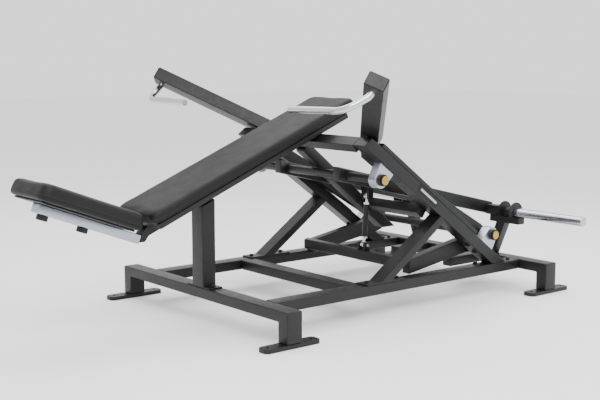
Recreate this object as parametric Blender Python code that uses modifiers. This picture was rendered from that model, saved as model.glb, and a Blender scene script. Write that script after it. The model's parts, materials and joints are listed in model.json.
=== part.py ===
"""Leg press machine: a V-shaped bench in a fixed tube frame, a press frame with two grip arms on
the lower axle, a weight frame with two plate horns on the upper axle, and a link between them.
Metres, +Z up. Shapes are laid out with X zero at the front base bar and rising to the rear one, and
the machine empty then moves all of them so that the machine's middle is on the world's Z axis.
Names ending in _l are on the +Y side, and names ending in _r are on the -Y side."""

import math

import bmesh
import bpy
from mathutils import Matrix, Vector

# The machine's middle in X, measured from the front base bar.
MIDDLE_X = 0.5859

# Clearances and rounded edges.
GAP = 0.0003
TUBE_EDGE = 0.005
PLATE_EDGE = 0.0015
SEGMENTS = 24
HOLE_SEGMENTS = 20
SHARP_ANGLE = math.radians(35.0)

# Base frame.
REAR_X = 2.062
BAR_HALF_X = 0.050
BAR_HALF_Y = 0.8135
BAR_LEG = 0.079
BAR_BOTTOM = 0.131
BAR_TOP = 0.191
FOOT_T = 0.0220
FOOT_OUT = 0.186
FOOT_IN = 0.178
FOOT_Y = (0.732, 0.816)
FOOT_HOLE_R = 0.009
FOOT_HOLE_INSET = 0.040
FOOT_CORNER = 0.030
RAIL_Y = (0.498, 0.597)
MID_X = (0.620, 0.720)
STUB_X = 1.720
STUB_Y = (0.206, 0.279)

# Side frames. Outlines are (x, z) corners.
DIAGONAL_FALL = math.radians(36.0)
APEX = ((0.6680, 0.9850), (0.7288, 1.0290), (0.7610, 0.9844), (0.7003, 0.9405))
DIAGONAL = ((0.7270, 1.0280), (0.6680, 0.9850), (1.7605, 0.1913), (1.8787, 0.1913))
CENTRE_DIAGONAL = ((0.7360, 0.9652), (0.7005, 0.9398), (0.6920, 0.9163), (1.3460, 0.3950), (1.4520, 0.3950))
CENTRE_HALF = 0.040
BRACE_CENTRE = (1.225, 0.562)
BRACE_SIZE = (0.070, 0.060)
STRUT = (
    (0.7000, 0.1913),
    (1.0150, 0.1913),
    (1.0150, 0.1993),
    (0.8870, 0.1993),
    (1.3245, 0.5073),
    (1.2842, 0.5364),
    (0.8055, 0.1993),
    (0.7000, 0.1993),
)
UPPER_LINE = (0.7270, 1.0280)
LOWER_LINE = (0.6680, 0.9850)
DOUBLER_X = (0.803, 1.600)
DOUBLER_Y = (0.557, 0.597)
DOUBLER_T = 0.025

# Axles and bearings.
UPPER_AXLE = (0.810, 0.785)
LOWER_AXLE = (1.760, 0.376)
SHAFT_R = 0.025
SHAFT_HALF = 0.5245
LEVER_BORE_Y = (0.2, 0.4)
PRESS_BORE_Y = (0.38, 0.52)
HOUSING_Y = (0.525, 0.585)
HOUSING_R = 0.048
HOUSING_SWEEP = math.radians(80.0)
UPPER_HOUSING_X = (0.806, 0.906)
LOWER_HOUSING_X = (1.663, 1.763)
HOUSING_GAP = 0.0006
COLLAR_R = 0.034
COLLAR_Y = 0.605
CAP_R = 0.029
CAP_Y = 0.618
CAP_EDGE = 0.003

# Bench. Runs are measured up each pad from the crease, and depths square to its face.
BACK_CREASE = (-0.4646, 0.6588)
BACK_RISE = math.atan(0.41)
BACK_RUN = (0.0, 1.545)
BACK_T = 0.070
SEAT_CREASE = (-0.4646, 0.6550)
SEAT_RISE = math.radians(20.84)
SEAT_RUN = (0.002, 0.627)
SEAT_T = 0.092
PAD_HALF = 0.210
PAD_CORNER = 0.060
PAD_EDGE = 0.020
BOARD_EDGE = 0.003
BACK_BOARD_RUN = (0.030, 1.448)
BACK_BOARD_T = 0.030
BACK_BOARD_HALF = 0.190
SEAT_BOARD_RUN = (0.040, 0.590)
SEAT_BOARD_T = 0.010
SEAT_BOARD_HALF = 0.160
SEAT_TUBE_RUN = (-0.080, 0.540)
SEAT_TUBE_T = 0.050
SEAT_TUBE_HALF = 0.040
KNOB_RUNS = (0.250, 0.487)
KNOB_R = 0.030
KNOB_T = 0.028
BEAM_HALF = 0.030
BEAM_NOSE = ((-0.4230, 0.5375), (-0.4405, 0.4905), (-0.4000, 0.4900))
BEAM_X = (-0.375, 0.6676)
BEAM_DROPS = (0.109, 0.174)
POST_HALF_Y = 0.055
POST_TOP = ((-0.048, 0.6548), (0.040, 0.6909))
POST_PLATE_Y = 0.110
POST_PLATE_T = 0.008

# Weight frame.
LEVER_Y = (0.245, 0.305)
LEVER_X = (0.740, 2.087)
LEVER_POINT = (0.973, 0.787)
LEVER_FALL = 0.2365
LEVER_DEPTH = 0.081
LEVER_TUBE_X = (1.120, 1.180)
LEVER_TUBE_Z = (0.680, 0.735)
HORN_AXIS = (2.050, 0.482)
HUB_R = 0.0298
HUB_END = 0.5330
HUB_BLOCK_X = (2.0180, 2.0820)
HUB_BLOCK_Y = 0.3980
HUB_BLOCK_Z = (0.4525, 0.5140)
STOP_R = 0.065
STOP_FLAT = 0.030
STOP_T = 0.008
STOP_Y = (0.433, 0.525)
HORN_R = 0.0295
HORN_Y = (0.5335, 1.054)
HORN_EDGE = 0.004

# Weight rests on the rear bar: (y, z) corners.
REST = (
    (0.330, 0.4505),
    (0.570, 0.4505),
    (0.570, 0.4075),
    (0.455, 0.4075),
    (0.365, 0.1915),
    (0.300, 0.1915),
    (0.385, 0.4075),
    (0.330, 0.4075),
)
REST_X = (2.030, 2.090)

# Press frame.
SIDE_Y = (0.420, 0.480)
SIDE = (
    (0.8000, 0.9905),
    (0.9300, 0.8985),
    (1.7750, 0.4300),
    (1.8050, 0.4080),
    (1.8120, 0.3750),
    (1.8050, 0.3450),
    (1.7900, 0.3000),
    (1.7500, 0.2801),
    (1.1453, 0.1864),
    (1.1453, 0.2731),
    (1.6900, 0.3690),
    (0.9000, 0.8350),
    (0.8000, 0.9050),
)
PRESS_TUBE_X = (1.085, 1.145)
PRESS_TUBE_Z = (0.225, 0.285)
PRESS_TUBE_HALVES = (0.438, 0.480)
ARM_TOP = (0.349, 1.030, 1.355)
ARM_FOOT = (0.849, 0.455, 1.006)
ARM_WIDTH = 0.112
ARM_DEPTH = 0.080
HANDLE_ROOT = (0.356, 0.990, 1.301)
HANDLE_STUB = 0.030
HANDLE_ROOT_R = 0.024
HANDLE_BEND = (0.220, 0.925, 1.205)
HANDLE_TIP = (0.215, 0.506, 1.200)
HANDLE_R = 0.0195
HANDLE_BEND_R = 0.075

# Link between the two frames.
LINK_Y = -0.100
LINK_HIGH = (1.150, 0.620)
LINK_LOW = (1.124, 0.316)
LINK_R = 0.0165
EYE_R = 0.019
EYE_HALF = 0.015
PIN_R = 0.008
CHEEK_IN = 0.0165
CHEEK_OUT = 0.035
HIGH_CLEVIS_X = (1.130, 1.170)
HIGH_CLEVIS_Z = (0.600, 0.665)
LOW_CLEVIS_X = (1.100, 1.148)
LOW_CLEVIS_Z = (0.2903, 0.335)
SHANK_R = 0.010
SHANK_RUN = 0.052
NUT_R = 0.0185
NUT_T = 0.012

# Base colour, metallic and roughness of each finish.
FINISHES = {
    "frame": ((0.055, 0.058, 0.058, 1.0), 0.0, 0.50),
    "vinyl": ((0.020, 0.020, 0.022, 1.0), 0.0, 0.55),
    "silver": ((0.600, 0.620, 0.650, 1.0), 1.0, 0.40),
    "chrome": ((0.850, 0.860, 0.880, 1.0), 1.0, 0.15),
    "brass": ((0.720, 0.520, 0.220, 1.0), 1.0, 0.25),
    "black": ((0.022, 0.022, 0.023, 1.0), 0.0, 0.60),
}
SIDES = (("_l", 1.0), ("_r", -1.0))


def clear_scene():
    for obj in list(bpy.data.objects):
        bpy.data.objects.remove(obj, do_unlink=True)


def new_collection(name):
    collection = bpy.data.collections.new(name)
    bpy.context.scene.collection.children.link(collection)
    return collection


def new_pivot(name, place):
    """An empty on a joint axis, which carries the pieces that turn about it."""
    pivot = bpy.data.objects.new(name, None)
    pivot.location = place
    pivot.empty_display_size = HOUSING_R
    pivot.parent = MACHINE
    PARTS.objects.link(pivot)
    return pivot


def new_material(name, finish):
    color, metallic, roughness = FINISHES[finish]
    made = bpy.data.materials.new(name)
    made.use_nodes = True
    shader = made.node_tree.nodes["Principled BSDF"]
    shader.inputs["Base Color"].default_value = color
    shader.inputs["Metallic"].default_value = metallic
    shader.inputs["Roughness"].default_value = roughness
    return made


def object_from(bm, name):
    bmesh.ops.recalc_face_normals(bm, faces=bm.faces)
    mesh = bpy.data.meshes.new(name)
    bm.to_mesh(mesh)
    bm.free()
    return bpy.data.objects.new(name, mesh)


def prism(name, outline, low, high, axis="Y"):
    """A solid of one outline, run from low to high along the axis."""
    first, second, run = {"X": (1, 2, 0), "Y": (0, 2, 1), "Z": (0, 1, 2)}[axis]
    bm = bmesh.new()
    corners = []
    for a, b in outline:
        place = Vector()
        place[first] = a
        place[second] = b
        place[run] = low
        corners.append(bm.verts.new(place))
    raised = bmesh.ops.extrude_face_region(bm, geom=[bm.faces.new(corners)])
    moved = [item for item in raised["geom"] if isinstance(item, bmesh.types.BMVert)]
    push = Vector()
    push[run] = high - low
    bmesh.ops.translate(bm, vec=push, verts=moved)
    return object_from(bm, name)


def block(name, centre, size, turn=None):
    """A box of a size (x, y, z) about its centre, turned by a rotation matrix if one is given."""
    matrix = Matrix.Translation(centre)
    if turn is not None:
        matrix = matrix @ turn.to_4x4()
    bm = bmesh.new()
    bmesh.ops.create_cube(bm, size=1.0, matrix=matrix @ Matrix.Diagonal(Vector(size).to_4d()))
    return object_from(bm, name)


def box(name, x, y, z):
    """A box between two limits on each axis."""
    centre = [(low + high) / 2 for low, high in (x, y, z)]
    size = [high - low for low, high in (x, y, z)]
    return block(name, centre, size)


def cylinder(name, start, end, radius, segments=SEGMENTS):
    start = Vector(start)
    end = Vector(end)
    direction = (end - start).normalized()
    turn = Vector((0.0, 0.0, 1.0)).rotation_difference(direction).to_matrix().to_4x4()
    bm = bmesh.new()
    bmesh.ops.create_cone(
        bm,
        cap_ends=True,
        segments=segments,
        radius1=radius,
        radius2=radius,
        depth=(end - start).length,
        matrix=Matrix.Translation((start + end) / 2) @ turn,
    )
    return shaded_smooth(object_from(bm, name))


def disc(name, centre, y, radius, segments=SEGMENTS):
    """A cylinder along Y about the point (x, z)."""
    return cylinder(name, (centre[0], y[0], centre[1]), (centre[0], y[1], centre[1]), radius, segments)


def pipe(name, points, radius):
    """A round bar along a path, with flat ends."""
    curve = bpy.data.curves.new(name, "CURVE")
    curve.dimensions = "3D"
    curve.bevel_depth = radius
    curve.bevel_resolution = 3
    curve.use_fill_caps = True
    spline = curve.splines.new("POLY")
    spline.points.add(len(points) - 1)
    for point, place in zip(spline.points, points):
        point.co = Vector(place).to_4d()
    guide = bpy.data.objects.new(name + "_path", curve)
    CUTTERS.objects.link(guide)
    graph = bpy.context.evaluated_depsgraph_get()
    bm = bmesh.new()
    bm.from_mesh(bpy.data.meshes.new_from_object(guide.evaluated_get(graph)))
    bmesh.ops.remove_doubles(bm, verts=bm.verts, dist=0.00001)
    bpy.data.objects.remove(guide, do_unlink=True)
    return shaded_smooth(object_from(bm, name))


def shaded_smooth(obj):
    for polygon in obj.data.polygons:
        polygon.use_smooth = True
    obj.data.set_sharp_from_angle(angle=SHARP_ANGLE)
    return obj


def rounded(obj, width=TUBE_EDGE, segments=1):
    bevel = obj.modifiers.new("rounded_edges", "BEVEL")
    bevel.width = width
    bevel.segments = segments
    bevel.limit_method = "ANGLE"
    bevel.angle_limit = SHARP_ANGLE
    return obj


def combined(obj, other, operation):
    CUTTERS.objects.link(other)
    other.parent = MACHINE
    other.display_type = "WIRE"
    other.hide_render = True
    boolean = obj.modifiers.new(other.name, "BOOLEAN")
    boolean.operation = operation
    boolean.solver = "EXACT"
    boolean.object = other
    return obj


def joined(obj, other):
    return combined(obj, other, "UNION")


def drilled(obj, cutter):
    return combined(obj, cutter, "DIFFERENCE")


def placed(obj, finish, pivot=None):
    """Adds the piece to the machine. A fixed piece has its origin at its middle, a moving one at its pivot."""
    corners = [Vector(corner) for corner in obj.bound_box]
    origin = pivot.location if pivot else sum(corners, Vector()) / len(corners)
    obj.data.transform(Matrix.Translation(-origin))
    obj.parent = pivot or MACHINE
    if not pivot:
        obj.location = origin
    obj.data.materials.append(new_material("mat_" + obj.name, finish))
    PARTS.objects.link(obj)
    return obj


def span(sign, limits):
    """The two limits on the side that sign names, low one first."""
    return tuple(sorted(sign * limit for limit in limits))


def arc(centre, radius, start, end, steps):
    points = []
    for i in range(steps + 1):
        angle = start + (end - start) * i / steps
        points.append((centre[0] + radius * math.cos(angle), centre[1] + radius * math.sin(angle)))
    return points


def rounded_rectangle(x, y, corner):
    points = []
    for cx, cy, quarter in (
        (x[1] - corner, y[1] - corner, 0),
        (x[0] + corner, y[1] - corner, 1),
        (x[0] + corner, y[0] + corner, 2),
        (x[1] - corner, y[0] + corner, 3),
    ):
        start = quarter * math.pi / 2
        points += arc((cx, cy), corner, start, start + math.pi / 2, SEGMENTS // 4)
    return points


def line_z(point, x):
    """Height of a line through the point that falls with the side frames."""
    return point[1] - (x - point[0]) * math.tan(DIAGONAL_FALL)


def off_line(point, x, distance):
    """The point of that line at x, moved square to it by the distance, upward if positive."""
    shift = (distance * math.sin(DIAGONAL_FALL), distance * math.cos(DIAGONAL_FALL))
    return (x + shift[0], line_z(point, x) + shift[1])


def make_foot(name, bar_x, direction, sign):
    x = sorted((bar_x - direction * FOOT_OUT, bar_x + direction * FOOT_IN))
    y = span(sign, FOOT_Y)
    foot = rounded(prism(name, rounded_rectangle(x, y, FOOT_CORNER), 0.0, FOOT_T, "Z"), PLATE_EDGE)
    middle = (y[0] + y[1]) / 2
    for i, hole_x in enumerate((x[0] + FOOT_HOLE_INSET, x[1] - FOOT_HOLE_INSET)):
        start = (hole_x, middle, -FOOT_T)
        end = (hole_x, middle, 2 * FOOT_T)
        drilled(foot, cylinder(f"{name}_hole_{i}", start, end, FOOT_HOLE_R, HOLE_SEGMENTS))
    placed(foot, "frame")


def make_base_bar(name, x):
    inner = BAR_HALF_Y - BAR_LEG
    low = FOOT_T + GAP
    half = [(inner, BAR_BOTTOM), (inner, low), (BAR_HALF_Y, low), (BAR_HALF_Y, BAR_TOP)]
    outline = half + [(-y, z) for y, z in reversed(half)]
    placed(rounded(prism(name, outline, x - BAR_HALF_X, x + BAR_HALF_X, "X")), "frame")


def make_base():
    make_base_bar("front_base_bar", 0.0)
    make_base_bar("rear_base_bar", REAR_X)
    z = (BAR_BOTTOM, BAR_TOP)
    rail_end = REAR_X - BAR_HALF_X - GAP
    for suffix, sign in SIDES:
        make_foot("front_foot" + suffix, 0.0, 1.0, sign)
        make_foot("rear_foot" + suffix, REAR_X, -1.0, sign)
        rail = box("side_rail" + suffix, (BAR_HALF_X + GAP, rail_end), span(sign, RAIL_Y), z)
        placed(rounded(rail), "frame")
        stub = box("rear_stub" + suffix, (STUB_X, rail_end), span(sign, STUB_Y), z)
        placed(rounded(stub), "frame")
    inner = RAIL_Y[0] - GAP
    placed(rounded(box("mid_base_bar", MID_X, (-inner, inner), z)), "frame")


def make_side_frames():
    inner = RAIL_Y[0] - GAP
    placed(rounded(prism("apex_bar", APEX, -inner, inner), BOARD_EDGE), "frame")
    for suffix, sign in SIDES:
        placed(rounded(prism("diagonal" + suffix, DIAGONAL, *span(sign, RAIL_Y)), BOARD_EDGE), "frame")
        placed(rounded(prism("strut" + suffix, STRUT, *span(sign, RAIL_Y)), PLATE_EDGE), "frame")
        corners = []
        for x, depth in zip(DOUBLER_X + DOUBLER_X[::-1], (0.0, 0.0, DOUBLER_T, DOUBLER_T)):
            corners.append(off_line(UPPER_LINE, x, depth + 2 * GAP))
        doubler = prism("doubler" + suffix, corners, *span(sign, DOUBLER_Y))
        placed(rounded(doubler, PLATE_EDGE), "frame")
    placed(rounded(prism("diagonal_centre", CENTRE_DIAGONAL, -CENTRE_HALF, CENTRE_HALF)), "frame")
    turn = Matrix.Rotation(DIAGONAL_FALL, 3, "Y")
    ends = (-RAIL_Y[0] + GAP, -CENTRE_HALF - GAP)
    centre = (BRACE_CENTRE[0], sum(ends) / 2, BRACE_CENTRE[1])
    size = (BRACE_SIZE[0], ends[1] - ends[0], BRACE_SIZE[1])
    placed(rounded(block("brace_bar", centre, size, turn)), "frame")


def housing_outline(axle, line, feet_x, side):
    """The axle's round boss run out to a flat foot on the line: above the axle if side is 1, below if -1."""
    fall = (math.cos(DIAGONAL_FALL), -math.sin(DIAGONAL_FALL))
    normal_angle = math.atan2(fall[0], -fall[1])
    away = normal_angle + (math.pi if side > 0 else 0.0)
    boss = arc(axle, HOUSING_R, away - HOUSING_SWEEP, away + HOUSING_SWEEP, SEGMENTS // 2)
    feet = [off_line(line, x, -side * HOUSING_GAP) for x in feet_x]
    if side < 0:
        feet.reverse()
    return boss + [feet[1], feet[0]]


def make_bearings():
    bearings = (
        ("upper_bearing", UPPER_AXLE, LOWER_LINE, UPPER_HOUSING_X, 1),
        ("lower_bearing", LOWER_AXLE, UPPER_LINE, LOWER_HOUSING_X, -1),
    )
    for name, axle, line, feet_x, side in bearings:
        outline = housing_outline(axle, line, feet_x, side)
        for suffix, sign in SIDES:
            housing = rounded(prism(name + suffix, outline, *span(sign, HOUSING_Y)), PLATE_EDGE)
            collar_y = span(sign, (HOUSING_Y[0] + TUBE_EDGE, COLLAR_Y))
            joined(housing, disc(name + suffix + "_collar", axle, collar_y, COLLAR_R))
            placed(housing, "silver")
            cap_name = name.replace("bearing", "cap") + suffix
            cap = disc(cap_name, axle, span(sign, (COLLAR_Y + GAP, CAP_Y)), CAP_R)
            placed(rounded(cap, CAP_EDGE), "brass")


def pad_point(crease, rise, direction, run, depth):
    """The point at run up a pad from its crease and at depth below its face. The pad rises toward direction."""
    x = crease[0] + direction * (run * math.cos(rise) + depth * math.sin(rise))
    z = crease[1] + run * math.sin(rise) - depth * math.cos(rise)
    return (x, z)


def pad_outline(crease, rise, direction, runs, depths):
    low, high = runs
    top, bottom = depths
    pairs = ((low, top), (high, top), (high, bottom), (low, bottom))
    return [pad_point(crease, rise, direction, run, depth) for run, depth in pairs]


def make_pad(name, crease, rise, direction, runs, thickness):
    """A cushion with rounded corners in plan and soft edges."""
    x = sorted(direction * run for run in runs)
    outline = rounded_rectangle(x, (-PAD_HALF, PAD_HALF), PAD_CORNER)
    pad = prism(name, outline, -thickness, 0.0, "Z")
    turn = Matrix.Rotation(-direction * rise, 4, "Y")
    pad.data.transform(Matrix.Translation((crease[0], 0.0, crease[1])) @ turn)
    placed(shaded_smooth(rounded(pad, PAD_EDGE, 2)), "vinyl")


def back_z(x):
    """Height of the back pad's face, run on past both ends."""
    return BACK_CREASE[1] + (x - BACK_CREASE[0]) * math.tan(BACK_RISE)


def make_bench():
    back = (BACK_CREASE, BACK_RISE, 1.0)
    seat = (SEAT_CREASE, SEAT_RISE, -1.0)
    make_pad("back_pad", *back, BACK_RUN, BACK_T)
    make_pad("seat_pad", *seat, SEAT_RUN, SEAT_T)
    top = BACK_T + GAP
    outline = pad_outline(*back, BACK_BOARD_RUN, (top, top + BACK_BOARD_T))
    board = prism("back_board", outline, -BACK_BOARD_HALF, BACK_BOARD_HALF)
    placed(rounded(board, BOARD_EDGE), "black")
    top = SEAT_T + GAP
    outline = pad_outline(*seat, SEAT_BOARD_RUN, (top, top + SEAT_BOARD_T))
    board = prism("seat_board", outline, -SEAT_BOARD_HALF, SEAT_BOARD_HALF)
    placed(rounded(board, BOARD_EDGE), "black")
    top += SEAT_BOARD_T + GAP
    outline = pad_outline(*seat, SEAT_TUBE_RUN, (top, top + SEAT_TUBE_T))
    tube = prism("seat_tube", outline, -SEAT_TUBE_HALF, SEAT_TUBE_HALF)
    placed(rounded(tube), "silver")
    top += SEAT_TUBE_T + GAP
    for i, run in enumerate(KNOB_RUNS):
        start = pad_point(*seat, run, top)
        end = pad_point(*seat, run, top + KNOB_T)
        knob = cylinder(f"seat_knob_{i + 1}", (start[0], 0.0, start[1]), (end[0], 0.0, end[1]), KNOB_R)
        placed(rounded(knob, BOARD_EDGE), "black")
    make_bench_supports()


def make_bench_supports():
    top, bottom = BEAM_DROPS
    front, rear = BEAM_X
    outline = [(front, back_z(front) - top), *BEAM_NOSE, (front, back_z(front) - bottom)]
    outline += [(rear, back_z(rear) - bottom), (rear, back_z(rear) - top)]
    placed(rounded(prism("bench_beam", outline, -BEAM_HALF, BEAM_HALF), BOARD_EDGE), "frame")
    low = BAR_TOP + GAP
    foot = [(x, low + POST_PLATE_T / 2) for x, _ in reversed(POST_TOP)]
    post = rounded(prism("bench_post", list(POST_TOP) + foot, -POST_HALF_Y, POST_HALF_Y))
    plate_x = (-BAR_HALF_X + TUBE_EDGE, BAR_HALF_X - TUBE_EDGE)
    plate = box("bench_post_plate", plate_x, (-POST_PLATE_Y, POST_PLATE_Y), (low, low + POST_PLATE_T))
    placed(joined(post, rounded(plate, PLATE_EDGE)), "frame")


def lever_z(x):
    return LEVER_POINT[1] - LEVER_FALL * (x - LEVER_POINT[0])


def make_horn_hub(suffix, sign):
    """The stub that carries a horn, with its two stop plates, each with a flat at the bottom."""
    dip = math.asin(STOP_FLAT / STOP_R)
    outline = arc(HORN_AXIS, STOP_R, -dip, math.pi + dip, SEGMENTS)
    hub = disc("horn_hub" + suffix, HORN_AXIS, span(sign, (LEVER_Y[1] + GAP, HUB_END)), HUB_R)
    block_y = span(sign, (LEVER_Y[1] + GAP, HUB_BLOCK_Y))
    joined(hub, rounded(box(f"horn_hub{suffix}_block", HUB_BLOCK_X, block_y, HUB_BLOCK_Z), BOARD_EDGE))
    for i, y in enumerate(STOP_Y):
        name = f"horn_hub{suffix}_stop_{i}"
        joined(hub, prism(name, outline, *span(sign, (y, y + STOP_T - (i * GAP)))))
    placed(hub, "frame", WEIGHT_PIVOT)


def make_weight_frame():
    front, rear = LEVER_X
    outline = [(x, lever_z(x)) for x in LEVER_X]
    outline += [(x, lever_z(x) - LEVER_DEPTH) for x in (rear, front)]
    for suffix, sign in SIDES:
        lever = rounded(prism("lever" + suffix, outline, *span(sign, LEVER_Y)))
        bore = disc(f"lever{suffix}_bore", UPPER_AXLE, span(sign, LEVER_BORE_Y), SHAFT_R + GAP)
        placed(drilled(lever, bore), "frame", WEIGHT_PIVOT)
        make_horn_hub(suffix, sign)
        horn = disc("horn" + suffix, HORN_AXIS, span(sign, HORN_Y), HORN_R)
        placed(rounded(horn, HORN_EDGE), "chrome", WEIGHT_PIVOT)
        rest = prism("weight_rest" + suffix, [(sign * y, z) for y, z in REST], *REST_X, "X")
        placed(rounded(rest, BOARD_EDGE), "frame")
    half = LEVER_Y[0] - GAP
    tube = box("lever_tube", LEVER_TUBE_X, (-half, half), LEVER_TUBE_Z)
    placed(rounded(tube), "frame", WEIGHT_PIVOT)
    shaft = disc("weight_shaft", UPPER_AXLE, (-SHAFT_HALF, SHAFT_HALF), SHAFT_R)
    placed(shaft, "black", WEIGHT_PIVOT)


def make_arm(suffix, sign):
    """A flat tube that leans out, forward and up, and the bent round handle under its end."""
    side = Vector((1.0, sign, 1.0))
    top = Vector(ARM_TOP) * side
    foot = Vector(ARM_FOOT) * side
    run = (top - foot).normalized()
    normal = Vector((run.z, 0.0, -run.x)).normalized()
    turn = Matrix((run.cross(normal), normal, -run)).transposed()
    if turn.determinant() < 0.0:
        turn = Matrix((normal.cross(run), normal, -run)).transposed()
    size = (ARM_WIDTH, ARM_DEPTH, (top - foot).length)
    arm = block("arm" + suffix, (top + foot) / 2, size, turn)
    placed(rounded(arm), "frame", PRESS_PIVOT)
    root = Vector(HANDLE_ROOT) * side
    stub = root - normal * HANDLE_STUB
    bend = Vector(HANDLE_BEND) * side
    tip = Vector(HANDLE_TIP) * side
    path = [root, *fillet(root, stub, bend, HANDLE_ROOT_R), *fillet(stub, bend, tip, HANDLE_BEND_R), tip]
    placed(pipe("handle" + suffix, path, HANDLE_R), "chrome", PRESS_PIVOT)


def fillet(before, corner, after, reach):
    """Points of a smooth turn at the corner, which starts and ends at reach from it."""
    start = corner + (before - corner).normalized() * reach
    end = corner + (after - corner).normalized() * reach
    steps = SEGMENTS // 4
    points = []
    for i in range(steps + 1):
        t = i / steps
        points.append(start * (1 - t) ** 2 + corner * 2 * t * (1 - t) + end * t**2)
    return points


def make_press_frame():
    for suffix, sign in SIDES:
        frame = rounded(prism("press_side" + suffix, SIDE, *span(sign, SIDE_Y)), BOARD_EDGE)
        bore = disc(f"press_side{suffix}_bore", LOWER_AXLE, span(sign, PRESS_BORE_Y), SHAFT_R + GAP)
        placed(drilled(frame, bore), "frame", PRESS_PIVOT)
        make_arm(suffix, sign)
    corners = list(zip(PRESS_TUBE_X, PRESS_TUBE_HALVES))
    outline = corners + [(x, -half) for x, half in reversed(corners)]
    tube = prism("press_tube", outline, *PRESS_TUBE_Z, "Z")
    placed(rounded(tube), "frame", PRESS_PIVOT)
    shaft = disc("press_shaft", LOWER_AXLE, (-SHAFT_HALF, SHAFT_HALF), SHAFT_R)
    placed(shaft, "black", PRESS_PIVOT)


def clevis_outline(open_z, floor_z, back_z_):
    """The (y, z) corners of a two-cheeked clevis, which opens at open_z and is closed between the other two."""
    half = [(CHEEK_OUT, back_z_), (CHEEK_OUT, open_z), (CHEEK_IN, open_z), (CHEEK_IN, floor_z)]
    mirrored = [(-y, z) for y, z in reversed(half)]
    return [(LINK_Y + y, z) for y, z in half + mirrored]


def make_link():
    outline = clevis_outline(HIGH_CLEVIS_Z[0], HIGH_CLEVIS_Z[1], LEVER_TUBE_Z[0] - GAP)
    clevis = rounded(prism("weight_clevis", outline, *HIGH_CLEVIS_X, "X"), PLATE_EDGE)
    reach = CHEEK_OUT + PLATE_EDGE
    joined(clevis, disc("weight_clevis_pin", LINK_HIGH, (LINK_Y - reach, LINK_Y + reach), PIN_R))
    placed(clevis, "frame", WEIGHT_PIVOT)
    outline = clevis_outline(LOW_CLEVIS_Z[1], LOW_CLEVIS_Z[0], PRESS_TUBE_Z[1] + GAP)
    clevis = rounded(prism("press_clevis", outline, *LOW_CLEVIS_X, "X"), PLATE_EDGE)
    placed(clevis, "frame", PRESS_PIVOT)
    high = Vector((LINK_HIGH[0], LINK_Y, LINK_HIGH[1]))
    low = Vector((LINK_LOW[0], LINK_Y, LINK_LOW[1]))
    down = (low - high).normalized()
    make_eye("link_eye_top", high, down, PIN_R + GAP)
    make_eye("link_eye_bottom", low, -down, PIN_R)
    start = high + down * (SHANK_RUN + GAP)
    end = low - down * (SHANK_RUN + GAP)
    placed(rounded(cylinder("link_tube", start, end, LINK_R), PLATE_EDGE), "black", LINK_PIVOT)


def make_eye(name, centre, run, bore_r):
    """A rod end: a bored eye, its threaded shank and the lock nut against the link tube."""
    point = (centre.x, centre.z)
    width = (LINK_Y - EYE_HALF, LINK_Y + EYE_HALF)
    eye = rounded(disc(name, point, width, EYE_R), PLATE_EDGE)
    neck = centre + run * (PIN_R + PLATE_EDGE * 2)
    joined(eye, cylinder(name + "_shank", neck, centre + run * (SHANK_RUN - NUT_T / 2), SHANK_R))
    nut_start = centre + run * (SHANK_RUN - NUT_T)
    joined(eye, cylinder(name + "_nut", nut_start, centre + run * SHANK_RUN, NUT_R, 6))
    bore = (LINK_Y - 2 * EYE_HALF, LINK_Y + 2 * EYE_HALF)
    drilled(eye, disc(name + "_bore", point, bore, bore_r))
    placed(eye, "chrome", LINK_PIVOT)


clear_scene()
PARTS = new_collection("leg_press_machine")
CUTTERS = new_collection("cutters")
MACHINE = bpy.data.objects.new("machine", None)
MACHINE.location = (-MIDDLE_X, 0.0, 0.0)
PARTS.objects.link(MACHINE)
WEIGHT_PIVOT = new_pivot("weight_pivot", (UPPER_AXLE[0], 0.0, UPPER_AXLE[1]))
PRESS_PIVOT = new_pivot("press_pivot", (LOWER_AXLE[0], 0.0, LOWER_AXLE[1]))
LINK_PIVOT = new_pivot("link_pivot", (LINK_HIGH[0], LINK_Y, LINK_HIGH[1]))
make_base()
make_side_frames()
make_bearings()
make_bench()
make_weight_frame()
make_press_frame()
make_link()
CUTTERS.hide_render = True
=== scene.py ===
import json
import math

import bmesh
import bpy
import numpy as np
from mathutils import Matrix, Vector
from mathutils.bvhtree import BVHTree


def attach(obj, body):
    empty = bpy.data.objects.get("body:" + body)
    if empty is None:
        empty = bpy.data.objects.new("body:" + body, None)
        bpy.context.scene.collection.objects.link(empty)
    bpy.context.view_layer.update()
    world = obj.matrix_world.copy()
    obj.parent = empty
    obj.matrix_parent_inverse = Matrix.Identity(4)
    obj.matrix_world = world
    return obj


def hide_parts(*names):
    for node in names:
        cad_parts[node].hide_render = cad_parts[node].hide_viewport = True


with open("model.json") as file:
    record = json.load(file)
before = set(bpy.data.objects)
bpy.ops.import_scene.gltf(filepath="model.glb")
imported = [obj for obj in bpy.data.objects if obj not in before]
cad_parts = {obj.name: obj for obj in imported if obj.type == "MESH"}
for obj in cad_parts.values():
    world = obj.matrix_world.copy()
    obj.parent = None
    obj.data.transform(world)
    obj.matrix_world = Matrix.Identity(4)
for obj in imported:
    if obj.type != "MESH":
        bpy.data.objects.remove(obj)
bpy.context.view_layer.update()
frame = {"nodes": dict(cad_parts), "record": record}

FRAME_BODY = "fixed_frame"

# Places below are given as in the CAD part, with x from the front base bar. The frame has its x from
# the middle of the machine, which is this far behind that bar.
MIDDLE_X = 0.5859

# The photographer's camera: place, turn in degrees and focal length in millimetres.
CAMERA_PLACE = (-3.384 - MIDDLE_X, -5.008, 1.486)
CAMERA_TURN = (82.38, 0.0, -39.16)
CAMERA_LENS = 65.18

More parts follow.
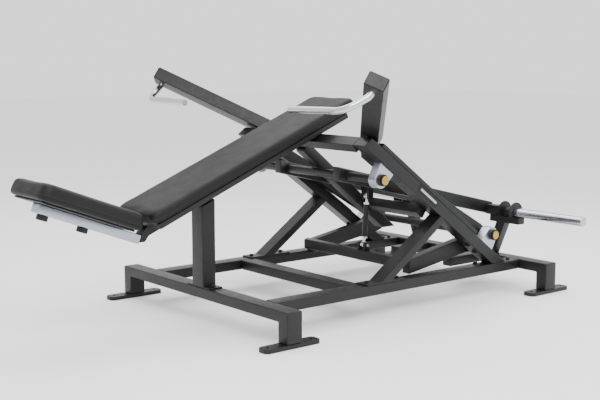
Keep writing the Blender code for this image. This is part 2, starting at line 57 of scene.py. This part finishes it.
# The side diagonals: their slope, the upper end of their lower edge, their middle and their outer face.
DIAGONAL_FALL = math.radians(36.0)
DIAGONAL_START = (0.668, 0.985)
DIAGONAL_SLOPE = 0.7265
RAIL_MIDDLE_Y = 0.5475
OUTER_FACE_Y = 0.5972
UNDER_DIAGONAL = (-math.sin(DIAGONAL_FALL), 0.0, -math.cos(DIAGONAL_FALL))

# Bolts: where they stand along x, and the heights of the faces that they stand on.
STRUT_BOLTS_X = (0.735, 0.972)
RAIL_BOLTS_X = (1.905, 1.960)
DIAGONAL_BOLTS_X = (1.575, 1.642)
CORNER_BOLT = (1.688, 0.516, 0.1913)
POST_BOLT_Y = 0.084
PLATE_TOP = 0.1993
RAIL_TOP = 0.191
LINK_BOLT = (1.124, -0.1, 0.316)
LINK_BOLT_OUT = 0.035
UP = (0.0, 0.0, 1.0)

# The badge's centre on the diagonal, and each arm's upper and lower ends.
BADGE = (1.179, 0.665)
ARM_TOP = (0.349, 1.030, 1.355)
ARM_FOOT = (0.849, 0.455, 1.006)
ARM_CAP_SIZE = (0.104, 0.072, 0.0024)

# Cushions: crease, rise, direction, run limits, half width and thickness, as in the CAD part.
BACK = {"node": "back_pad", "crease": (-0.4646, 0.6588), "rise": math.atan(0.41), "way": 1.0,
        "runs": (0.0, 1.545), "half": 0.210, "thick": 0.070, "corner": 0.060}
SEAT = {"node": "seat_pad", "crease": (-0.4646, 0.6550), "rise": math.radians(20.84), "way": -1.0,
        "runs": (0.002, 0.627), "half": 0.210, "thick": 0.092, "corner": 0.060}
COLLAR_START = 0.5855
FACING = 0.9
INSET = 0.005
VOXEL = 0.006
PRESSURE = 4.0
RELAX_STEPS = 40
SIM_FRAMES = 20
MOST_MOVE = 0.006
PIPING_R = 0.0016
WELT_DROP = 0.72
STITCH_RISE = 0.006
STITCH_STEP = 0.008
STITCH_LENGTH = 0.005
STITCH_R = 0.0007
RAY_START = 0.030
RAY_AIM = 0.070


def nodes_for(name, color, metallic, roughness):
    made = bpy.data.materials.new(name)
    made.use_nodes = True
    tree = made.node_tree
    shader = tree.nodes["Principled BSDF"]
    shader.inputs["Base Color"].default_value = (*color, 1.0)
    shader.inputs["Metallic"].default_value = metallic
    shader.inputs["Roughness"].default_value = roughness
    return made, tree, shader


def coordinates(tree):
    return tree.nodes.new("ShaderNodeTexCoord").outputs["Object"]


def noise(tree, scale, detail=3.0, stretch=(1.0, 1.0, 1.0)):
    mapping = tree.nodes.new("ShaderNodeMapping")
    mapping.inputs["Scale"].default_value = stretch
    tree.links.new(coordinates(tree), mapping.inputs["Vector"])
    texture = tree.nodes.new("ShaderNodeTexNoise")
    texture.inputs["Scale"].default_value = scale
    texture.inputs["Detail"].default_value = detail
    tree.links.new(mapping.outputs["Vector"], texture.inputs["Vector"])
    return texture.outputs["Fac"]


def ranged(tree, value, low, high):
    """The value, from 0.3 to 0.7 as noise runs, moved to the range from low to high."""
    node = tree.nodes.new("ShaderNodeMapRange")
    node.inputs["From Min"].default_value = 0.3
    node.inputs["From Max"].default_value = 0.7
    node.inputs["To Min"].default_value = low
    node.inputs["To Max"].default_value = high
    tree.links.new(value, node.inputs["Value"])
    return node.outputs["Result"]


def tinted(tree, value, dark, light):
    node = tree.nodes.new("ShaderNodeMix")
    node.data_type = "RGBA"
    node.inputs["A"].default_value = (*dark, 1.0)
    node.inputs["B"].default_value = (*light, 1.0)
    tree.links.new(value, node.inputs["Factor"])
    return node.outputs["Result"]


def bumped(tree, shader, height, strength, distance):
    bump = tree.nodes.new("ShaderNodeBump")
    bump.inputs["Strength"].default_value = strength
    bump.inputs["Distance"].default_value = distance
    tree.links.new(height, bump.inputs["Height"])
    tree.links.new(bump.outputs["Normal"], shader.inputs["Normal"])


def powder_coat(name, dark, light):
    made, tree, shader = nodes_for(name, dark, 0.0, 0.42)
    tree.links.new(tinted(tree, noise(tree, 6.0), dark, light), shader.inputs["Base Color"])
    tree.links.new(ranged(tree, noise(tree, 40.0), 0.36, 0.46), shader.inputs["Roughness"])
    shader.inputs["Specular IOR Level"].default_value = 0.30
    bumped(tree, shader, noise(tree, 900.0, 2.0), 0.30, 0.0004)
    return made


def metal(name, color, roughness, grain, stretch=(1.0, 1.0, 1.0)):
    made, tree, shader = nodes_for(name, color, 1.0, roughness)
    spread = noise(tree, grain, 3.0, stretch)
    tree.links.new(ranged(tree, spread, roughness * 0.7, roughness * 1.3), shader.inputs["Roughness"])
    bumped(tree, shader, spread, 0.08, 0.0002)
    return made


def vinyl(name):
    made, tree, shader = nodes_for(name, (0.010, 0.010, 0.011), 0.0, 0.50)
    shader.inputs["Specular IOR Level"].default_value = 0.24
    cells = tree.nodes.new("ShaderNodeTexVoronoi")
    cells.feature = "DISTANCE_TO_EDGE"
    cells.inputs["Scale"].default_value = 420.0
    tree.links.new(coordinates(tree), cells.inputs["Vector"])
    tree.links.new(ranged(tree, noise(tree, 12.0), 0.48, 0.56), shader.inputs["Roughness"])
    dark, light = (0.0036, 0.0036, 0.0038), (0.0054, 0.0054, 0.0057)
    tree.links.new(tinted(tree, noise(tree, 5.0), dark, light), shader.inputs["Base Color"])
    bumped(tree, shader, cells.outputs["Distance"], 0.35, 0.0006)
    return made


MATERIALS = {
    "powder_coat": powder_coat("frame_coat", (0.0060, 0.0062, 0.0062), (0.0090, 0.0092, 0.0092)),
    "vinyl": vinyl("pad_vinyl"),
    "board": powder_coat("board_paint", (0.006, 0.006, 0.006), (0.009, 0.009, 0.009)),
    "knob_plastic": powder_coat("knob_grain", (0.007, 0.007, 0.007), (0.010, 0.010, 0.010)),
    "seat_tube_steel": metal("silver_coat", (0.42, 0.45, 0.52), 0.40, 60.0, (1.0, 8.0, 8.0)),
    "bearing_steel": metal("housing_silver", (0.46, 0.48, 0.54), 0.36, 180.0),
    "cap_brass": metal("cap_brass_turned", (0.46, 0.29, 0.07), 0.36, 240.0),
    "chrome": metal("bright_chrome", (0.52, 0.54, 0.58), 0.22, 90.0, (1.0, 0.2, 1.0)),
    "rod_end_steel": metal("zinc", (0.70, 0.71, 0.73), 0.24, 160.0),
    "black_steel": powder_coat("black_steel_coat", (0.008, 0.008, 0.008), (0.013, 0.013, 0.013)),
}
GLOSS = powder_coat("badge_plate", (0.0012, 0.0012, 0.0012), (0.0018, 0.0018, 0.0018))
RUBBER = powder_coat("black_rubber", (0.010, 0.010, 0.010), (0.014, 0.014, 0.014))
THREAD = powder_coat("seam_thread", (0.022, 0.022, 0.023), (0.032, 0.032, 0.033))


def shade(obj, angle=50.0):
    """Smooth shading that keeps flat faces flat and makes small chamfers read as round."""
    for polygon in obj.data.polygons:
        polygon.use_smooth = True
    weld = obj.modifiers.new("weld", "WELD")
    weld.merge_threshold = 0.00002
    split = obj.modifiers.new("split", "EDGE_SPLIT")
    split.split_angle = math.radians(angle)
    weighted = obj.modifiers.new("weighted", "WEIGHTED_NORMAL")
    weighted.keep_sharp = True


def dress_cad():
    for entry in frame["record"]["subparts"]:
        node = frame["nodes"][entry["node"]]
        node.data.materials.clear()
        node.data.materials.append(MATERIALS[entry["material_slot"]])
        if "_bearing_" in node.name:
            blacken(node, lambda polygon: abs(polygon.center.y) > COLLAR_START)
        if "_cap_" in node.name:
            blacken(node, lambda polygon: abs(polygon.normal.y) < FACING)
        shade(node)


def blacken(node, chosen):
    """Paints the chosen faces black, as on a housing's round collar and on the side of its brass cap."""
    node.data.materials.append(MATERIALS["black_steel"])
    for polygon in node.data.polygons:
        if chosen(polygon):
            polygon.material_index = 1


def linked(bm, name, material):
    mesh = bpy.data.meshes.new(name)
    bmesh.ops.recalc_face_normals(bm, faces=bm.faces)
    bm.to_mesh(mesh)
    bm.free()
    obj = bpy.data.objects.new(name, mesh)
    bpy.context.scene.collection.objects.link(obj)
    mesh.materials.append(material)
    return obj


def applied(obj):
    graph = bpy.context.evaluated_depsgraph_get()
    mesh = bpy.data.meshes.new_from_object(obj.evaluated_get(graph))
    obj.modifiers.clear()
    obj.data = mesh
    return obj


def plan_outline(pad, inset, step=0.0):
    """The pad's outline seen from above, inset from its edge. With a step, points are that far apart."""
    low, high = sorted(pad["way"] * run for run in pad["runs"])
    low, high, half = low + inset, high - inset, pad["half"] - inset
    corner = max(pad["corner"] - inset, 0.010)
    points = []
    for cx, cy, start in (
        (high - corner, half - corner, 0.0),
        (low + corner, half - corner, 0.5),
        (low + corner, corner - half, 1.0),
        (high - corner, corner - half, 1.5),
    ):
        for i in range(9):
            angle = (start + i / 16) * math.pi
            points.append((cx + corner * math.cos(angle), cy + corner * math.sin(angle)))
    if not step:
        return points
    dense = []
    for a, b in zip(points, points[1:] + points[:1]):
        a, b = Vector(a), Vector(b)
        count = max(1, round((b - a).length / step))
        dense += [a.lerp(b, i / count) for i in range(count)]
    return dense


def puffed(obj, pad):
    """Blows the cover up a little under pressure, with its underside held to the board."""
    floor = -pad["thick"] + 0.010
    before = np.array([v.co for v in obj.data.vertices])
    held = obj.vertex_groups.new(name="held")
    held.add([i for i, co in enumerate(before) if co[2] < floor], 1.0, "REPLACE")
    cloth = obj.modifiers.new("cloth", "CLOTH")
    cloth.settings.quality = 5
    cloth.settings.mass = 0.3
    cloth.settings.tension_stiffness = 30.0
    cloth.settings.compression_stiffness = 30.0
    cloth.settings.shear_stiffness = 10.0
    cloth.settings.bending_stiffness = 12.0
    cloth.settings.use_pressure = True
    cloth.settings.uniform_pressure_force = PRESSURE
    cloth.settings.vertex_group_mass = "held"
    cloth.settings.effector_weights.gravity = 0.0
    cloth.collision_settings.use_collision = False
    cloth.point_cache.frame_start = 1
    cloth.point_cache.frame_end = SIM_FRAMES
    for number in range(1, SIM_FRAMES + 1):
        bpy.context.scene.frame_set(number)
    applied(obj)
    bpy.context.scene.frame_set(1)
    after = np.array([v.co for v in obj.data.vertices])
    move = after - before
    length = np.linalg.norm(move, axis=1)
    move *= (np.minimum(length, MOST_MOVE) / np.maximum(length, 1e-9))[:, None]
    after = before + move
    low, high = sorted(pad["way"] * run for run in pad["runs"])
    after[:, 0] = after[:, 0].clip(low, high)
    after[:, 1] = after[:, 1].clip(-pad["half"], pad["half"])
    after[:, 2] = after[:, 2].clip(-pad["thick"], 0.004)
    obj.data.vertices.foreach_set("co", after.ravel())
    obj.data.update()


def to_place(pad):
    turn = Matrix.Rotation(-pad["way"] * pad["rise"], 4, "Y")
    return Matrix.Translation((pad["crease"][0] - MIDDLE_X, 0.0, pad["crease"][1])) @ turn


def make_cushion(pad):
    name = pad["node"] + "_upholstery"
    bm = bmesh.new()
    base = -pad["thick"] + 0.0005
    face = bm.faces.new([bm.verts.new((x, y, base)) for x, y in plan_outline(pad, INSET)])
    raised = bmesh.ops.extrude_face_region(bm, geom=[face])
    top = [item for item in raised["geom"] if isinstance(item, bmesh.types.BMVert)]
    bmesh.ops.translate(bm, vec=(0.0, 0.0, -INSET - base), verts=top)
    cushion = linked(bm, name, MATERIALS["vinyl"])
    bevel = cushion.modifiers.new("soft_edge", "BEVEL")
    bevel.width = 0.016
    bevel.segments = 4
    bevel.limit_method = "ANGLE"
    bevel.angle_limit = math.radians(35.0)
    remesh = cushion.modifiers.new("remesh", "REMESH")
    remesh.mode = "VOXEL"
    remesh.voxel_size = VOXEL
    applied(cushion)
    puffed(cushion, pad)
    smooth = cushion.modifiers.new("relax", "SMOOTH")
    smooth.iterations = RELAX_STEPS
    smooth.factor = 0.5
    finer = cushion.modifiers.new("finer", "SUBSURF")
    finer.levels = 1
    finer.render_levels = 1
    applied(cushion)
    if not cushion.data.materials:
        cushion.data.materials.append(MATERIALS["vinyl"])
    for polygon in cushion.data.polygons:
        polygon.use_smooth = True
    tree = BVHTree.FromPolygons(
        [v.co for v in cushion.data.vertices], [tuple(p.vertices) for p in cushion.data.polygons]
    )
    make_welt(tree, pad)
    make_stitches(tree, pad)
    cushion.data.transform(to_place(pad))
    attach(cushion, FRAME_BODY)
    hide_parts(pad["node"])


def side_hits(tree, pad, outline, drop):
    """Where level rays from an outline round the pad meet its side, at drop below its face."""
    inner = plan_outline(pad, RAY_AIM, 0.004)
    hits = []
    for point in outline:
        near = min(inner, key=lambda q: (q - point).length_squared)
        start = Vector((point.x, point.y, -drop))
        target = Vector((near.x, near.y, -drop))
        found = tree.ray_cast(start, (target - start).normalized())
        if found[0] is not None:
            hits.append(found[:2])
    return hits


def make_welt(tree, pad):
    """A piped welt low on the side, where the cover meets its boxing."""
    place = to_place(pad)
    edge = plan_outline(pad, -RAY_START, STITCH_STEP)
    welt = [place @ hit for hit, _ in side_hits(tree, pad, edge, pad["thick"] * WELT_DROP)]
    curve = bpy.data.curves.new(pad["node"] + "_welt", "CURVE")
    curve.dimensions = "3D"
    curve.bevel_depth = PIPING_R
    curve.bevel_resolution = 2
    spline = curve.splines.new("POLY")
    spline.points.add(len(welt) - 1)
    for point, co in zip(spline.points, welt):
        point.co = (*co, 1.0)
    spline.use_cyclic_u = True
    piping = bpy.data.objects.new(curve.name, curve)
    bpy.context.scene.collection.objects.link(piping)
    curve.materials.append(MATERIALS["vinyl"])
    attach(piping, FRAME_BODY)


def make_stitches(tree, pad):
    """A row of stitches just above the welt."""
    edge = plan_outline(pad, -RAY_START, STITCH_STEP)
    row = side_hits(tree, pad, edge, pad["thick"] * WELT_DROP - STITCH_RISE)
    bm = bmesh.new()
    for (hit, _), (after, _) in zip(row, row[1:] + row[:1]):
        along = (after - hit).normalized()
        turn = Vector((0.0, 0.0, 1.0)).rotation_difference(along).to_matrix().to_4x4()
        bmesh.ops.create_cone(
            bm, cap_ends=True, segments=6, radius1=STITCH_R, radius2=STITCH_R,
            depth=STITCH_LENGTH, matrix=Matrix.Translation(hit) @ turn,
        )
    stitches = linked(bm, pad["node"] + "_stitches", THREAD)
    stitches.data.transform(to_place(pad))
    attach(stitches, FRAME_BODY)


def make_solid(name, material, body, centre, direction, radius, depth, segments=24, bevel=0.001):
    """A short cylinder, or a hexagon with 6 segments, that points along direction."""
    turn = Vector((0.0, 0.0, 1.0)).rotation_difference(Vector(direction)).to_matrix().to_4x4()
    bm = bmesh.new()
    shift = Matrix.Translation((centre[0] - MIDDLE_X, centre[1], centre[2]))
    bmesh.ops.create_cone(
        bm, cap_ends=True, segments=segments, radius1=radius, radius2=radius, depth=depth, matrix=shift @ turn
    )
    obj = linked(bm, name, material)
    rim = obj.modifiers.new("rim", "BEVEL")
    rim.width = bevel
    rim.segments = 2
    rim.limit_method = "ANGLE"
    shade(obj, 35.0)
    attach(obj, body)
    return obj


def make_bolt(name, centre, direction, body=FRAME_BODY, radius=0.012, slot="black_steel"):
    """A washer and a domed hexagon head, set on a face at centre."""
    direction = Vector(direction)
    centre = Vector(centre)
    steel = MATERIALS[slot]
    make_solid(name + "_washer", steel, body, centre + direction * 0.0012,
               direction, radius * 1.30, 0.0022, 24, 0.0004)
    make_solid(name + "_head", steel, body, centre + direction * (0.0025 + radius * 0.4),
               direction, radius, radius * 0.8, 6, radius * 0.2)


def make_fasteners():
    for suffix, sign in (("l", 1.0), ("r", -1.0)):
        out = (0.0, sign, 0.0)
        for x in STRUT_BOLTS_X:
            make_bolt(f"strut_bolt_{suffix}_{x}", (x, sign * RAIL_MIDDLE_Y, PLATE_TOP), UP)
        make_bolt(f"post_bolt_{suffix}", (0.0, sign * POST_BOLT_Y, PLATE_TOP), UP)
        for x in DIAGONAL_BOLTS_X:
            z = DIAGONAL_START[1] - DIAGONAL_SLOPE * (x - DIAGONAL_START[0])
            under = (x, sign * RAIL_MIDDLE_Y, z)
            make_bolt(f"diagonal_bolt_{suffix}_{x}", under, UNDER_DIAGONAL, radius=0.015)
        corner = (CORNER_BOLT[0], sign * CORNER_BOLT[1], CORNER_BOLT[2])
        make_bolt(f"corner_bolt_{suffix}", corner, UP, radius=0.014)
        for x in RAIL_BOLTS_X:
            make_bolt(f"rail_bolt_{suffix}_{x}", (x, sign * RAIL_MIDDLE_Y, RAIL_TOP), UP)
        link = (LINK_BOLT[0], LINK_BOLT[1] + sign * LINK_BOLT_OUT, LINK_BOLT[2])
        make_bolt(f"link_bolt_{suffix}", link, out, "press_frame", 0.009, "rod_end_steel")
    make_badge()


def make_badge():
    """A blank dark plate with one pale bar, and no lettering, on the outer face of each diagonal."""
    turn = Matrix.Rotation(DIAGONAL_FALL, 4, "Y")
    for suffix, sign in (("l", 1.0), ("r", -1.0)):
        for part, length, height, depth, material in (
            ("plate", 0.232, 0.048, 0.0014, GLOSS),
            ("bar", 0.170, 0.014, 0.0020, MATERIALS["seat_tube_steel"]),
        ):
            centre = Matrix.Translation((BADGE[0] - MIDDLE_X, sign * (OUTER_FACE_Y + depth / 2), BADGE[1]))
            bm = bmesh.new()
            size = Matrix.Diagonal((length, depth, height, 1.0))
            bmesh.ops.create_cube(bm, size=1.0, matrix=centre @ turn @ size)
            uprights = [e for e in bm.edges if abs((e.verts[0].co - e.verts[1].co).normalized().y) > 0.9]
            bmesh.ops.bevel(bm, geom=uprights, offset=height * 0.45, segments=6, affect="EDGES")
            piece = linked(bm, f"badge_{part}_{suffix}", material)
            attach(piece, FRAME_BODY)


def make_arm_caps():
    """A thin black end cap on the upper end of each arm."""
    for suffix, sign in (("l", 1.0), ("r", -1.0)):
        top = Vector((ARM_TOP[0] - MIDDLE_X, sign * ARM_TOP[1], ARM_TOP[2]))
        foot = Vector((ARM_FOOT[0] - MIDDLE_X, sign * ARM_FOOT[1], ARM_FOOT[2]))
        run = (top - foot).normalized()
        normal = Vector((run.z, 0.0, -run.x)).normalized()
        turn = Matrix((run.cross(normal) * sign, normal, run)).transposed().to_4x4()
        size = Matrix.Diagonal((*ARM_CAP_SIZE, 1.0))
        bm = bmesh.new()
        bmesh.ops.create_cube(bm, size=1.0, matrix=Matrix.Translation(top + run * 0.0014) @ turn @ size)
        cap = linked(bm, "arm_cap_" + suffix, RUBBER)
        edge = cap.modifiers.new("edge", "BEVEL")
        edge.width = 0.001
        edge.segments = 2
        shade(cap)
        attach(cap, "press_frame")


def make_studio():
    bm = bmesh.new()
    bmesh.ops.create_grid(bm, x_segments=1, y_segments=1, size=30.0)
    made, tree, shader = nodes_for("floor_white", (0.95, 0.95, 0.95), 0.0, 0.75)
    tree.links.new(ranged(tree, noise(tree, 2.0), 0.70, 0.80), shader.inputs["Roughness"])
    floor = linked(bm, "floor", made)
    floor.location.z = -0.0004
    world = bpy.data.worlds.new("studio")
    bpy.context.scene.world = world
    world.use_nodes = True
    background = world.node_tree.nodes["Background"]
    background.inputs["Color"].default_value = (1.0, 1.0, 1.0, 1.0)
    background.inputs["Strength"].default_value = 1.5
    lights = (
        ("key", (-2.5, -3.5, 4.5), 3.5, 260.0),
        ("fill", (3.5, -3.0, 3.0), 3.0, 90.0),
        ("top", (0.5, 1.5, 5.0), 4.0, 160.0),
    )
    for name, place, size, power in lights:
        data = bpy.data.lights.new(name, "AREA")
        data.size = size
        data.energy = power
        light = bpy.data.objects.new(name, data)
        light.location = place
        aim = Vector((0.0, 0.0, 0.6)) - Vector(place)
        light.rotation_euler = aim.to_track_quat("-Z", "Y").to_euler()
        bpy.context.scene.collection.objects.link(light)


def make_camera():
    data = bpy.data.cameras.new("photo_camera")
    data.lens = CAMERA_LENS
    data.sensor_width = 36.0
    data.dof.use_dof = False
    camera = bpy.data.objects.new("photo_camera", data)
    camera.location = CAMERA_PLACE
    camera.rotation_euler = [math.radians(angle) for angle in CAMERA_TURN]
    bpy.context.scene.collection.objects.link(camera)
    bpy.context.scene.camera = camera


dress_cad()
make_cushion(BACK)
make_cushion(SEAT)
make_fasteners()
make_arm_caps()
make_studio()
make_camera()
